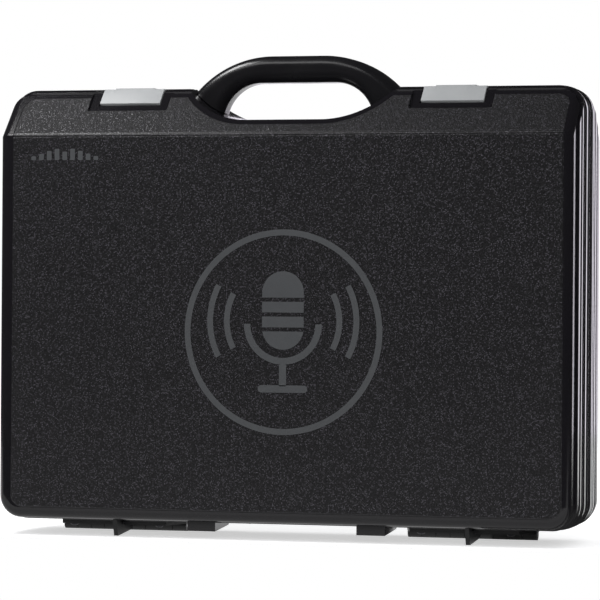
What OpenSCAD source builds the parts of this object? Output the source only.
// Moulded plastic carry case with a hinged lid, for microphones and their receiver.
// It stands upright on its hinge edge with the handle on top. X is across the lid, Y goes back from
// the lid (-Y) to the base (+Y), and the two halves meet at Y = 0. Z = 0 is the ground.

/* [Case body] */
// Width of each half's body, without the rim band
case_w = 440; // [380:1:560]
// Height of each half's body, without the rim band
case_h = 323; // [300:1:420]
// Depth of each half, from the parting plane to its face
half_d = 57.5; // [52:0.5:75]
// Wall thickness of both halves
wall = 3; // [2:0.1:3.6]
// Radius of the body's corners, seen from the front
corner_r = 17; // [13:0.5:30]
// Rounding where a face turns into the side walls
face_round = 8; // [5:0.5:10]
// How far the top slope runs down and back from the rim
slope_h = 34; // [28:0.5:40]
// Width of the flattened edge above the top slope
slope_break = 2.6; // [1:0.1:4]
// Width of the flattened edge at the slope's foot
crease_break = 1; // [0.3:0.1:1.5]
// How much smaller the slope's side rounding is than the face's
slope_round_less = 0.8; // [0.5:0.1:1.5]

/* [Rim band] */
// How far the rim band stands out of the body
band_out = 2.5; // [1.5:0.1:4]
// Depth of the band on each half, along the sides and the bottom
band_d = 36; // [30:0.5:40]
// Depth of the band on each half, along the top
band_top_d = 20; // [18.5:0.5:24]
// Distance of the band's groove from the parting plane
groove_y = 17; // [12:0.5:18]
// Width of the band's groove
groove_w = 2.4; // [1:0.1:4]
// Depth of the band's groove
groove_depth = 1.1; // [0.5:0.1:1.5]
// Bevel of the band's edge at the parting plane
lip_bevel = 1; // [0.5:0.1:1.4]
// How far the base's wall is set in beside that bevel
base_lip = 0.9; // [0:0.1:1]
// Length of the base's tongue that goes into the lid
tongue_l = 3; // [2:0.1:5]
// Thickness of the tongue
tongue_t = 1.3; // [0.8:0.1:1.5]
// Clearance round the tongue
tongue_gap = 0.3; // [0.2:0.05:0.6]

/* [Handle] */
// Half length of the handle's straight top
handle_flat = 20; // [12:1:26]
// Radius of the handle's outer bends
handle_out_r = 80; // [70:1:90]
// Height of the handle's top above the band
handle_rise = 24.4; // [18:0.2:30]
// Thickness of the grip, seen from the front
grip_t = 20.3; // [15:0.1:24]
// Depth of the grip, front to back
grip_d = 26; // [22:0.5:32]
// Rounding along the grip's edges
grip_round = 8; // [5:0.5:9]
// Half length of the finger opening's straight part
finger_flat = 29; // [24:1:36]
// Radius of the finger opening's corners
finger_r = 30; // [26:1:34]
// Depth of the hand well in the top, below the band
well_depth = 25.7; // [20:0.5:30]
// Radius of the hand well's curved ends
well_r = 66; // [55:1:80]

/* [Latches] */
// Distance of each latch from the middle
latch_x = 125.1; // [110:0.1:140]
// Width of a latch
latch_w = 47.5; // [38:0.5:56]
// Thickness of a latch's plate
latch_t = 2.4; // [1.8:0.1:2.8]
// Width of the latch's raised middle
latch_pad_w = 30; // [20:1:34]
// Gap between a latch and the edges of its pocket
latch_gap = 0.8; // [0.5:0.1:2]
// How far the shallow recess round a latch reaches beside it
latch_recess_side = 7.6; // [4:0.2:10]
// Depth of that recess, square to the slope
latch_recess_d = 1.6; // [0.8:0.1:2]
// Radius of a latch's pin
latch_pin_r = 1.5; // [1:0.1:1.8]
// Clearance of the latch on its pin
latch_pin_gap = 0.08; // [0.05:0.01:0.1]
// Distance of the pin behind the parting plane
latch_pin_y = 8; // [7:0.1:9]

/* [Hinges] */
// Distance of each hinge from the middle
hinge_x = 135.9; // [120:1:150]
// Length of a hinge
hinge_l = 98.5; // [80:1:120]
// Knuckles along a hinge
knuckles = 9; // [5:2:13]
// Radius of the knuckles
knuckle_r = 4.2; // [3.6:0.1:4.6]
// Gap between neighbouring knuckles
knuckle_gap = 0.4; // [0.2:0.1:0.8]
// Radius of a hinge pin
hinge_pin_r = 1.5; // [1:0.1:1.8]
// Clearance of the lid's knuckles on the pin
hinge_pin_gap = 0.08; // [0.05:0.01:0.1]
// Thickness of a hinge leaf
leaf_t = 2.6; // [2:0.1:3.4]
// How far a leaf reaches from the hinge axis
leaf_reach = 30; // [28:1:34]
// How much shorter a leaf's far edge is at each end
leaf_taper = 8; // [2:0.5:10]
// Distance of a hinge's standing fin from its middle
fin_shift = 5.8; // [0:0.1:8]
// Thickness of a standing fin
fin_t = 3.2; // [2.4:0.1:5]
// Distance of a fin's tip from the parting plane
fin_y = 42; // [38:1:46]

/* [Stand blocks] */
// Middle of the blocks between the hinges, left and right
block_x = [-61.5, 69.2];
// Width of a stand block
block_w = 21.7; // [14:0.1:28]
// Height of a block's low front edge above the ground
block_ground_gap = 5.3; // [4:0.1:7]

/* [Screws] */
// Radius of the screws' shanks
screw_r = 1.6; // [1.2:0.1:1.9]
// Radius of the screws' heads
screw_head_r = 3; // [2.4:0.1:3.4]
// Height of the screws' heads
screw_head_h = 1.8; // [1.2:0.1:2.2]

/* [Foam] */
// Receiver pocket, width and height
receiver_pocket = [196, 162];
// Transmitter pocket, width and height
transmitter_pocket = [92, 78];
// Power supply and cable pockets, width and height
supply_pocket = [136, 58];
// Microphone pocket's length
mic_l = 258; // [200:1:290]
// Radius of the microphone pocket's head
mic_head_r = 29; // [24:0.5:32]
// Half height of the microphone pocket's body
mic_body_r = 20; // [16:0.5:24]
// Radius of the finger notches at the pockets' ends
notch_r = 11; // [8:0.5:14]
// Distance of the pockets from the foam's sides
pocket_margin = 30.7; // [20:0.1:36]
// Thickness of the base's pocketed foam
foam_d = 40; // [34:1:42]
// Thickness of the pad behind it
pad_d = 9.9; // [8:0.1:14]
// Thickness of the lid's foam
lid_foam_d = 34; // [24:1:38]
// Depth of the pockets in the base's foam
pocket_d = 32; // [24:1:34]
// Space between the foam and what it lies against
foam_gap = 0.3; // [0.2:0.1:1]

/* [Hidden] */
$fn = 96;
eps = 0.01;
diag = sqrt(0.5);                                  // one unit along a 45 degree line, per axis

hinge_z = knuckle_r + 1.8;                         // hinge axis above the ground
band_z0 = hinge_z + knuckle_r;                     // bottom of the rim band
body_z0 = band_z0 + band_out;                      // bottom of the body
body_z1 = body_z0 + case_h;                        // top of the body
band_z1 = body_z1 + band_out;                      // top of the rim band
mid_z = (body_z0 + body_z1) / 2;
band_w = case_w + 2 * band_out;
band_h = case_h + 2 * band_out;
band_r = corner_r + band_out;
slope_sum = body_z1 - slope_h + half_d;            // on the slope, z = y + slope_sum (y < 0)
band_slope_z = body_z1 - 0.8 * slope_h;            // where the band starts to lean back
groove_end = groove_y + groove_w / 2;
wall_run = band_d - groove_end;
// The band's wall from its bevel on, as distance from the parting plane and inset: long faces lean
// forward, and three short ridges between them lean back.
wall_line = [
    [0.46 * groove_y, 0.35], [0.7 * groove_y, 0.2], [groove_y - groove_w / 2, 0.5],
    [groove_y - groove_w / 4, groove_depth], [groove_y + groove_w / 4, groove_depth],
    [groove_end, 0.5], [groove_end + 0.22 * wall_run, 0.8], [groove_end + 0.41 * wall_run, 0.65],
    [groove_end + 0.66 * wall_run, 1], [band_d - 0.6, 0.9], [band_d, 1.5]
];
seam_clear = 0.4;                                  // space under the handle on the lid's side

well_z = band_z1 - well_depth;                     // floor of the hand well
well_cz = well_z + well_r;                         // centres of its curved ends
handle_z1 = band_z1 + handle_rise;                 // top of the handle
grip_z0 = handle_z1 - grip_t;                      // top of the finger opening
handle_boss_r = screw_r + 2.6;
handle_boss_z = well_z + 3.6;                      // the bosses' flat ends, under the well's skin
handle_screw_x0 = finger_flat + finger_r + 6;      // the screws stand outside the finger opening
handle_screw_x = [handle_screw_x0, handle_screw_x0 + 2 * handle_boss_r + 0.6];
handle_screw_z1 = handle_top(handle_screw_x[1]) - 5; // the handle screws' tips

latch_top = band_z1 - 0.4;                         // top face of a latch
latch_sunk = 0.8;                                  // its sloping face below the slope, along Z
latch_sum = slope_sum - latch_sunk;                // on that face, z = y + latch_sum
latch_low = 11.7;                                  // the latch's low edge below the band's top
latch_pad_h = 0.8;
latch_pad_edge = 2;                                // run of the raised middle's rear ramp
latch_barrel_r = 3.6;
latch_pin_z = latch_top - latch_barrel_r;
latch_recess_w = latch_w + 2 * latch_recess_side;
latch_recess_low = 17.3;                           // the recess's low edge below the band's top
latch_pocket_w = latch_w + 2 * latch_gap;
latch_pocket_d = 5.2;                              // square to the slope
latch_pin_l = latch_pocket_w + 2 * (wall - 1);     // the pin's ends sit in the pocket's side walls
latch_floor_z = latch_pin_z - latch_barrel_r - 0.6; // flat floor of the latch pockets
latch_base_d = latch_pin_y + latch_barrel_r + latch_pad_h + latch_gap; // reach of the base's pocket
catch_y = band_z1 - latch_low - slope_sum + 5.7;   // front of the lid's catch ridge
catch_l = 3.3;
catch_w = latch_w - 11;
hook_w = catch_w + 2;
hook_gap = 0.4;
hook_d = latch_pocket_d - latch_sunk * diag - 0.5; // depth of a latch's hook

knuckle_pitch = hinge_l / knuckles;
leaf_z0 = band_z0 - leaf_t;
leaf_screw_x = 34;
leaf_screw_y = 23;
leaf_pad = 5;                                      // half size of the screw pads inside
leaf_pad_z = band_z0 + wall + 4.8;                 // top of the screw pads
leaf_screw_z = leaf_pad_z - 1;                     // ends of the hinge screws
fin_tip = 2;                                       // length of a fin's flat end on the ground
fin_lean = 4;                                      // how much further its top reaches
fin_under = 2.9;                                   // its height below the hinge axis
block_front = -half_d + 11;
block_back = -band_d / 2 + 6;
block_rise = 3;                                    // how much its underside rises to the back

foam_w = case_w - 2 * wall - 2 * foam_gap;
foam_z0 = leaf_pad_z + foam_gap;
foam_z1 = well_z - wall - 5;
foam_back = half_d - wall - foam_gap;              // face of the pad at the base's rear wall
foam_front = foam_back - pad_d - foam_gap - foam_d;
pad_z1 = slope_sum - half_d - 5;                    // the foams behind the slopes end lower
foam_r = 15;
notch_d = 0.75 * pocket_d;
pocket_rim = 22;                                   // foam above, below and between the pockets
mic_pocket_down = 46;                              // the microphone's axis below the foam's top
inner_round = max(face_round - wall, slope_round_less + 0.5);
thin_foam_w = foam_w - 2 * inner_round - 1;        // between the shells' inner roundings

charcoal = [0.15, 0.15, 0.16];
black = [0.05, 0.05, 0.05];
latch_grey = [0.68, 0.7, 0.71];
steel = [0.6, 0.6, 0.62];
foam_grey = [0.2, 0.2, 0.22];

// A slab whose face is a rounded rectangle in X and Y: the profile, drawn from the corner's centre
// outwards, goes once round it and the middle is filled up to depth d.
module edged_slab(w, h, r, d) {
    for (turn = [0, 180]) rotate(turn) {
        translate([w / 2 - r, h / 2 - r, 0]) rotate_extrude(angle = 90) children();
        translate([w / 2 - r, -h / 2 + r, 0]) rotate(-90) rotate_extrude(angle = 90) children();
        translate([w / 2 - r, h / 2 - r, 0]) rotate([90, 0, 0])
            linear_extrude(h - 2 * r) children();
        translate([-w / 2 + r, h / 2 - r, 0]) rotate([90, 0, 90])
            linear_extrude(w - 2 * r) children();
    }
    translate([-w / 2 + r, -h / 2 + r, 0]) cube([w - 2 * r, h - 2 * r, d]);
}

// Turns a slab that was drawn face up so that its depth runs towards the lid's front.
module face_front() translate([0, 0, mid_z]) rotate([90, 0, 0]) children();

module round_edge_profile(r, d, f) {
    square([r, d - f]);
    square([r - f, d]);
    translate([r - f, d - f]) circle(f);
}

// A prism of constant Y-Z outline, centred on x.
module across(x, w) translate([x - w / 2, 0, 0]) rotate([90, 0, 90]) linear_extrude(w) children();

// One half's body without the band, grown inwards by t.
module body_slab(t) {
    f = t == 0 ? face_round : inner_round;
    r = corner_r - t;
    w = case_w - 2 * t;
    intersection() {
        face_front() edged_slab(w, case_h - 2 * t, r, half_d - t) round_edge_profile(r, half_d - t, f);
        slope_slab(w, t, f - slope_round_less);
    }
}

// Everything under the top slope, with the slope's side edges rounded.
module slope_slab(w, t, f) {
    reach = case_h + half_d;
    thick = case_h;
    translate([0, 0, slope_sum - t / diag]) rotate([45, 0, 0]) translate([0, reach, 0]) rotate([90, 0, 0])
        linear_extrude(2 * reach) union() {
            translate([-w / 2, -thick]) square([w, thick - f]);
            translate([-w / 2 + f, -thick]) square([w - 2 * f, thick]);
            for (s = [-1, 1]) translate([s * (w / 2 - f), -f]) circle(f);
        }
}

module band_profile(r, t, lip) {
    if (t == 0) polygon(concat(
        [[0, 0], [r - lip_bevel, 0], [r - lip, lip_bevel]], [for (p = wall_line) [r - p[1], p[0]]],
        [[0, band_d]]
    ));
    else square([r, band_d - t]);
}

// The rim band of one half, grown inwards by t and set in by lip beside its bevel. Along the top it is
// shallower and leans back.
module band_slab(t, lip) {
    r = band_r - t;
    difference() {
        face_front() edged_slab(band_w - 2 * t, band_h - 2 * t, r, band_d - t) band_profile(r, t, lip);
        across(0, band_w + 2) polygon([
            [-band_d - 1, band_slope_z - t - 1], [-band_d + t, band_slope_z - t],
            [-band_top_d + t, band_slope_z - t + band_d - band_top_d],
            [-band_top_d + t, band_z1 + 1], [-band_d - 1, band_z1 + 1]
        ]);
    }
}

// The hand well through the top, grown downwards by t.
module well(t) {
    r = well_r + t;
    for (s = [-1, 1]) translate([s * finger_flat, half_d + 1, well_cz]) rotate([90, 0, 0])
        cylinder(r = r, h = 2 * half_d + 2);
    translate([-finger_flat, -half_d - 1, well_cz - r]) cube([2 * finger_flat, 2 * half_d + 2, r]);
}

// Shallow recess in the slope round a latch, grown downwards by t.
module latch_recess(x, t) {
    low_z = band_z1 - latch_recess_low - t * diag;
    low_y = band_z1 - latch_recess_low - slope_sum - t * diag;
    deep = (latch_recess_d + t) * diag;
    rise = 20;
    across(x, latch_recess_w + 2 * t) polygon([
        [low_y, low_z], [low_y + deep, low_z - deep],
        [low_y + deep + rise, low_z - deep + rise], [low_y, low_z + 2 * rise]
    ]);
}

// The lid's latch pocket, grown downwards by t.
module lid_latch_pocket(x, t) {
    low_z = band_z1 - latch_low - latch_gap;
    low = [low_z - slope_sum, low_z];
    deep = (latch_pocket_d + t) * diag;
    p0 = [low[0] - t * diag, low[1] - t * diag];
    p1 = [p0[0] + deep, p0[1] - deep];
    floor_z = latch_floor_z - t;
    across(x, latch_pocket_w + 2 * t) polygon([
        p0, p1, [p1[0] + floor_z - p1[1], floor_z], [1, floor_z], [1, band_z1 + 20],
        [p0[0] - 20, p0[1] + 20]
    ]);
}

// The base's latch pocket, grown downwards by t.
module base_latch_pocket(x, t)
    translate([x - latch_pocket_w / 2 - t, -tongue_l - 1, latch_floor_z - t])
        cube([latch_pocket_w + 2 * t, tongue_l + 1 + latch_base_d + t, 30]);

// A round rod along a latch's pin: the pin itself and the bores that it goes through.
module latch_pin_space(x, r, l)
    translate([x, latch_pin_y, latch_pin_z]) rotate([0, 90, 0]) cylinder(r = r, h = l, center = true);

// Outer skin of one half, on the lid's side.
module half_outside(lip) {
    difference() {
        union() {
            body_slab(0);
            band_slab(0, lip);
        }
        edge_break();
        crease_cut();
        well(0);
    }
}

// Takes the sharp edge off the slope's foot, square to the bisector of its two faces.
module crease_cut() {
    inset = crease_break / 2 * tan(22.5);
    across(0, band_w + 2) translate([-half_d, slope_sum - half_d]) rotate(-22.5)
        translate([inset - 5, -5]) square([5, 10]);
}

// Takes the sharp edge off where the slope meets the body's top, in front of the band.
module edge_break() {
    y0 = body_z1 - slope_sum;
    run = 1.4 * slope_break;
    across(0, band_w + 2) polygon([
        [y0 - slope_break, body_z1 - slope_break], [y0 + run, body_z1],
        [-band_top_d, body_z1], [-band_top_d, band_z1 + 1], [y0 - slope_break, band_z1 + 1]
    ]);
}

module half_cavity() {
    difference() {
        union() {
            body_slab(wall);
            band_slab(wall, 0);
        }
        well(wall);
    }
}

// Block that carries a stand foot's load into the bottom, on the lid's side.
module stand_block(x) {
    low = block_ground_gap + block_rise;
    across(x, block_w) polygon([
        [block_front, body_z0 + wall], [block_front, block_ground_gap], [block_back, low],
        [block_back + block_rise, band_z0 + 1], [block_back + block_rise, body_z0 + wall]
    ]);
}

module screw_pad(x)
    translate([x - leaf_pad, -leaf_screw_y - leaf_pad, band_z0 + wall - 1])
        cube([2 * leaf_pad, 2 * leaf_pad, leaf_pad_z - band_z0 - wall + 1]);

module hinge_screw_holes(r)
    for (side = [-1, 1]) for (s = [-1, 1])
        translate([side * hinge_x + s * leaf_screw_x, -leaf_screw_y, band_z0 - 1])
            cylinder(r = r, h = leaf_screw_z - band_z0 + 1);

module half_bottom() {
    for (x = block_x) stand_block(x);
    for (side = [-1, 1]) {
        leaf_seat(side);
        for (s = [-1, 1]) screw_pad(side * hinge_x + s * leaf_screw_x);
    }
}

// A hinge leaf seen from below, from its free edge at y = -near to its shorter far edge.
module leaf_outline(side, near)
    translate([side * hinge_x - hinge_l / 2, 0]) polygon([
        [0, -near], [leaf_taper, -leaf_reach], [hinge_l - leaf_taper, -leaf_reach], [hinge_l, -near]
    ]);

// Flat seat for a hinge leaf under the band.
module leaf_seat(side)
    translate([0, 0, band_z0]) linear_extrude(wall - 1) leaf_outline(side, lip_bevel);

module tongue_ring(extra, l) {
    t = wall - tongue_t - extra;
    r = band_r - t;
    difference() {
        edged_slab(band_w - 2 * t, band_h - 2 * t, r, l) square([r, l]);
        translate([0, 0, -1]) edged_slab(band_w - 2 * wall, band_h - 2 * wall, band_r - wall, l + 2)
            square([band_r - wall, l + 2]);
    }
}

module catch_ridge(x) {
    floor_sum = slope_sum - latch_pocket_d / diag;
    top_sum = latch_sum - latch_t / diag - hook_gap;
    across(x, catch_w) polygon([
        [catch_y, catch_y + floor_sum - 1], [catch_y, catch_y + top_sum],
        [catch_y + catch_l, catch_y + catch_l + top_sum],
        [catch_y + catch_l, catch_y + catch_l + floor_sum - 1]
    ]);
}

module front_shell() color(charcoal) {
    difference() {
        union() {
            difference() {
                half_outside(0);
                difference() {
                    half_cavity();
                    for (s = [-1, 1]) {
                        latch_recess(s * latch_x, wall);
                        lid_latch_pocket(s * latch_x, wall);
                    }
                }
            }
            half_bottom();
        }
        for (s = [-1, 1]) {
            latch_recess(s * latch_x, 0);
            lid_latch_pocket(s * latch_x, 0);
        }
        face_front() translate([0, 0, -eps]) tongue_ring(tongue_gap, tongue_l + tongue_gap);
        hinge_screw_holes(screw_r);
    }
    for (s = [-1, 1]) catch_ridge(s * latch_x);
}

module rear_shell() color(charcoal) {
    difference() {
        union() {
            mirror([0, 1, 0]) {
                difference() {
                    half_outside(base_lip);
                    difference() {
                        half_cavity();
                        mirror([0, 1, 0]) for (s = [-1, 1]) base_latch_pocket(s * latch_x, wall);
                    }
                }
                half_bottom();
            }
            handle_bosses();
            face_front() tongue_ring(0, tongue_l);
        }
        for (s = [-1, 1]) {
            base_latch_pocket(s * latch_x, 0);
            latch_pin_space(s * latch_x, latch_pin_r, latch_pin_l);
        }
        well(0);
        mirror([0, 1, 0]) hinge_screw_holes(screw_r);
        handle_screw_holes();
    }
}

// Height of the handle's outline at x.
function handle_top(x) = handle_z1 - handle_out_r + sqrt(handle_out_r ^ 2 - (x - handle_flat) ^ 2);

module handle_bosses()
    for (s = [-1, 1]) for (x = handle_screw_x) translate([s * x, grip_d / 4, handle_boss_z])
        cylinder(r = handle_boss_r, h = band_z1 - handle_boss_z);

module handle_screw_holes()
    for (s = [-1, 1]) for (x = handle_screw_x) translate([s * x, grip_d / 4, handle_boss_z - 1])
        cylinder(r = screw_r, h = handle_screw_z1 + 1 - handle_boss_z);

// Bow handle: a plate with rounded rims, opened for the fingers and seated on the hand well's ends.
module handle() color(black) difference() {
    intersection() {
        union() {
            for (s = [0, 180]) translate([s == 0 ? handle_flat : -handle_flat, 0, handle_z1 - handle_out_r])
                rotate([90, 0, 0]) rotate([0, 0, s == 0 ? 0 : 90]) rotate_extrude(angle = 90)
                    round_rim(handle_out_r);
            translate([-handle_flat, 0, handle_z1 - handle_out_r]) rotate([90, 0, 90])
                linear_extrude(2 * handle_flat) rotate(90) mirror([0, 1]) round_rim(handle_out_r);
        }
        union() {
            intersection() {
                well(0);
                translate([-case_w / 2, 0, 0]) cube([case_w, grip_d, handle_z1 + 1]);
            }
            intersection() {
                well(-seam_clear);
                translate([-case_w / 2, -grip_d, 0]) cube([case_w, grip_d, handle_z1 + 1]);
            }
        }
    }
    finger_cut();
    handle_screw_holes();
}

// Half section of a round-rimmed disc, standing on its axis.
module round_rim(r) {
    translate([0, -grip_d / 2 + grip_round]) square([r, grip_d - 2 * grip_round]);
    translate([0, -grip_d / 2]) square([r - grip_round, grip_d]);
    for (s = [-1, 1]) translate([r - grip_round, s * (grip_d / 2 - grip_round)]) circle(grip_round);
}

// Section of a round-lipped opening, from its axis to its flared edge.
module flare_rim(r) difference() {
    translate([0, -grip_d / 2 - 1]) square([r + grip_round, grip_d + 2]);
    translate([r, -grip_d / 2 + grip_round]) square([grip_round + 1, grip_d - 2 * grip_round]);
    for (s = [-1, 1]) translate([r + grip_round, s * (grip_d / 2 - grip_round)]) circle(grip_round);
}

module finger_cut() {
    z = grip_z0 - finger_r;
    for (s = [0, 180]) translate([s == 0 ? finger_flat : -finger_flat, 0, z]) rotate([90, 0, 0])
        rotate([0, 0, s == 0 ? 0 : 90]) rotate_extrude(angle = 90) flare_rim(finger_r);
    translate([-finger_flat, 0, z]) rotate([90, 0, 90]) linear_extrude(2 * finger_flat)
        rotate(90) mirror([0, 1]) flare_rim(finger_r);
    for (s = [0, 1]) mirror([s, 0, 0]) translate([finger_flat, 0, z]) mirror([0, 0, 1])
        linear_extrude(finger_r + well_depth) flare_rim(finger_r);
    translate([-finger_flat, -grip_d / 2 - 1, z - finger_r - well_depth])
        cube([2 * finger_flat, grip_d + 2, finger_r + well_depth]);
}

module pan_screw(l) {
    translate([0, 0, -screw_head_h]) cylinder(r = screw_head_r, h = screw_head_h);
    cylinder(r = screw_r, h = l);
}

module handle_screws(side) color(black)
    for (x = handle_screw_x) translate([side * x, grip_d / 4, handle_boss_z])
        pan_screw(handle_screw_z1 - 1 - handle_boss_z);

// One hinge leaf with its fin, on the lid's side. first is 0 or 1: which knuckle is its first.
module hinge_leaf(side, first, bore_r) {
    x0 = side * hinge_x - hinge_l / 2;
    free_y = knuckle_r + 0.5;
    difference() {
        union() {
            translate([0, 0, leaf_z0]) linear_extrude(leaf_t) leaf_outline(side, free_y);
            for (i = [first : 2 : knuckles - 1]) translate([x0 + i * knuckle_pitch + knuckle_gap / 2, 0, 0])
                knuckle(knuckle_pitch - knuckle_gap, free_y);
            across(side * hinge_x + fin_shift, fin_t) polygon([
                [-fin_y - fin_lean, body_z0], [-fin_y, 0], [-fin_y + fin_tip, 0],
                [-2 * knuckle_r, hinge_z - fin_under], [-free_y - 1, leaf_z0 + 0.5],
                [-band_d - foam_gap, band_z0], [-band_d - foam_gap, body_z0]
            ]);
        }
        translate([x0 - 1, 0, hinge_z]) rotate([0, 90, 0]) cylinder(r = bore_r, h = hinge_l + 2);
        for (s = [-1, 1]) translate([side * hinge_x + s * leaf_screw_x, -leaf_screw_y, leaf_z0 - 1])
            cylinder(r = screw_r, h = leaf_t + 2);
    }
}

module knuckle(l, free_y) {
    translate([0, 0, hinge_z]) rotate([0, 90, 0]) cylinder(r = knuckle_r, h = l);
    translate([0, -free_y - eps, leaf_z0]) cube([l, free_y + eps, leaf_t]);
}

module hinge_screws(side) color(black)
    for (s = [-1, 1]) translate([side * hinge_x + s * leaf_screw_x, -leaf_screw_y, leaf_z0])
        pan_screw(leaf_screw_z - leaf_z0);

module hinge_pin(side) color(steel)
    translate([side * hinge_x - hinge_l / 2 + knuckle_gap / 2, 0, hinge_z]) rotate([0, 90, 0])
        cylinder(r = hinge_pin_r, h = hinge_l - knuckle_gap);

module latch_pin(side) color(steel) latch_pin_space(side * latch_x, latch_pin_r, latch_pin_l);

// Latch: flat top over the rim, a sloping front plate and a hook that grips the lid's catch ridge.
module latch(side) {
    x = side * latch_x;
    in_sum = latch_sum - latch_t / diag;
    low = [band_z1 - latch_low - latch_sum, band_z1 - latch_low];
    tip = low + hook_d * [diag, -diag];
    hook_y = catch_y - hook_gap;
    under = latch_top - latch_t;
    pad_y1 = latch_pin_y - 6;
    color(latch_grey) difference() {
        union() {
            across(x, latch_w) polygon([
                [latch_pin_y, latch_top], [latch_top - latch_sum, latch_top], low,
                low + latch_t * [diag, -diag], [under - in_sum, under], [latch_pin_y, under]
            ]);
            across(x, hook_w) polygon([
                low + latch_t / 2 * [diag, -diag], tip, [hook_y, hook_y + tip[1] - tip[0]],
                [hook_y, hook_y + in_sum + 0.5]
            ]);
            across(x, latch_pad_w) polygon([
                [pad_y1, latch_top - eps], [pad_y1 - latch_pad_edge, latch_top + latch_pad_h],
                [latch_top - latch_sum + 1, latch_top + latch_pad_h], [latch_top - latch_sum, latch_top - eps]
            ]);
            across(x, latch_w) union() {
                translate([latch_pin_y, latch_pin_z]) circle(latch_barrel_r);
                translate([latch_pin_y - latch_barrel_r, latch_pin_z])
                    square([latch_barrel_r, under - latch_pin_z + 1]);
            }
        }
        latch_pin_space(x, latch_pin_r + latch_pin_gap, latch_w + 2);
    }
}

// A closed block of foam in the case, from y0 back to y1.
module foam_block(w, z0, z1, y0, y1, r) {
    translate([0, y1, (z0 + z1) / 2]) rotate([90, 0, 0]) {
        translate([-w / 2 + r, -(z1 - z0) / 2, 0]) cube([w - 2 * r, z1 - z0, y1 - y0]);
        translate([-w / 2, -(z1 - z0) / 2 + r, 0]) cube([w, z1 - z0 - 2 * r, y1 - y0]);
        for (sx = [-1, 1]) for (sz = [-1, 1])
            translate([sx * (w / 2 - r), sz * ((z1 - z0) / 2 - r), 0]) cylinder(r = r, h = y1 - y0);
    }
}

// Rectangular pocket with a half-round finger notch at each end.
module box_pocket(x, z, size) {
    translate([x, foam_front - 1, z]) cube([size[0], pocket_d + 1, size[1]]);
    for (s = [0, 1]) translate([x + s * size[0], foam_front + notch_d, z + size[1] / 2])
        rotate([90, 0, 0]) cylinder(r = notch_r, h = notch_d + 1);
}

// Pocket for a hand-held microphone that lies along X, head on the left.
module mic_pocket(x, z) {
    translate([x + mic_head_r, foam_front + pocket_d, z]) rotate([90, 0, 0])
        cylinder(r = mic_head_r, h = pocket_d + 1);
    translate([x + mic_head_r, foam_front - 1, z - mic_body_r])
        cube([mic_l - mic_head_r, pocket_d + 1, 2 * mic_body_r]);
}

module base_foam() color(foam_grey) {
    left = -foam_w / 2 + pocket_margin;
    right = foam_w / 2 - pocket_margin;
    low = foam_z0 + pocket_rim;
    high = foam_z1 - pocket_rim;
    difference() {
        foam_block(foam_w, foam_z0, foam_z1, foam_front, foam_front + foam_d, foam_r);
        mic_pocket(left - notch_r + 1, foam_z1 - mic_pocket_down);
        box_pocket(left, low, receiver_pocket);
        box_pocket(right - transmitter_pocket[0], high - transmitter_pocket[1], transmitter_pocket);
        for (i = [0, 1])
            box_pocket(right - supply_pocket[0], low + i * (supply_pocket[1] + pocket_rim), supply_pocket);
    }
}

module base_foam_pad() color(foam_grey)
    foam_block(thin_foam_w, foam_z0 + 2, pad_z1, foam_back - pad_d, foam_back, foam_r);

module lid_foam() color(foam_grey) {
    foam_block(thin_foam_w, foam_z0 + 2, pad_z1, -foam_back, -foam_back + inner_round, foam_r);
    foam_block(foam_w, foam_z0, pad_z1, -foam_back + inner_round, -foam_back + lid_foam_d, foam_r);
}

module front_hinge_leaf(side) color(black) hinge_leaf(side, 1, hinge_pin_r + hinge_pin_gap);

module rear_hinge_leaf(side) color(black) mirror([0, 1, 0]) hinge_leaf(side, 0, hinge_pin_r);

rear_shell();
handle();
handle_screws(-1);  // handle_screws_left
handle_screws(1);  // handle_screws_right
rear_hinge_leaf(-1);  // rear_hinge_leaf_left
rear_hinge_leaf(1);  // rear_hinge_leaf_right
mirror([0, 1, 0]) hinge_screws(-1);  // rear_hinge_screws_left
mirror([0, 1, 0]) hinge_screws(1);  // rear_hinge_screws_right
hinge_pin(-1);  // hinge_pin_left
hinge_pin(1);  // hinge_pin_right
latch_pin(-1);  // latch_pin_left
latch_pin(1);  // latch_pin_right
base_foam();
base_foam_pad();
front_shell();
front_hinge_leaf(-1);  // front_hinge_leaf_left
front_hinge_leaf(1);  // front_hinge_leaf_right
hinge_screws(-1);  // front_hinge_screws_left
hinge_screws(1);  // front_hinge_screws_right
lid_foam();
latch(-1);  // latch_left
latch(1);  // latch_right
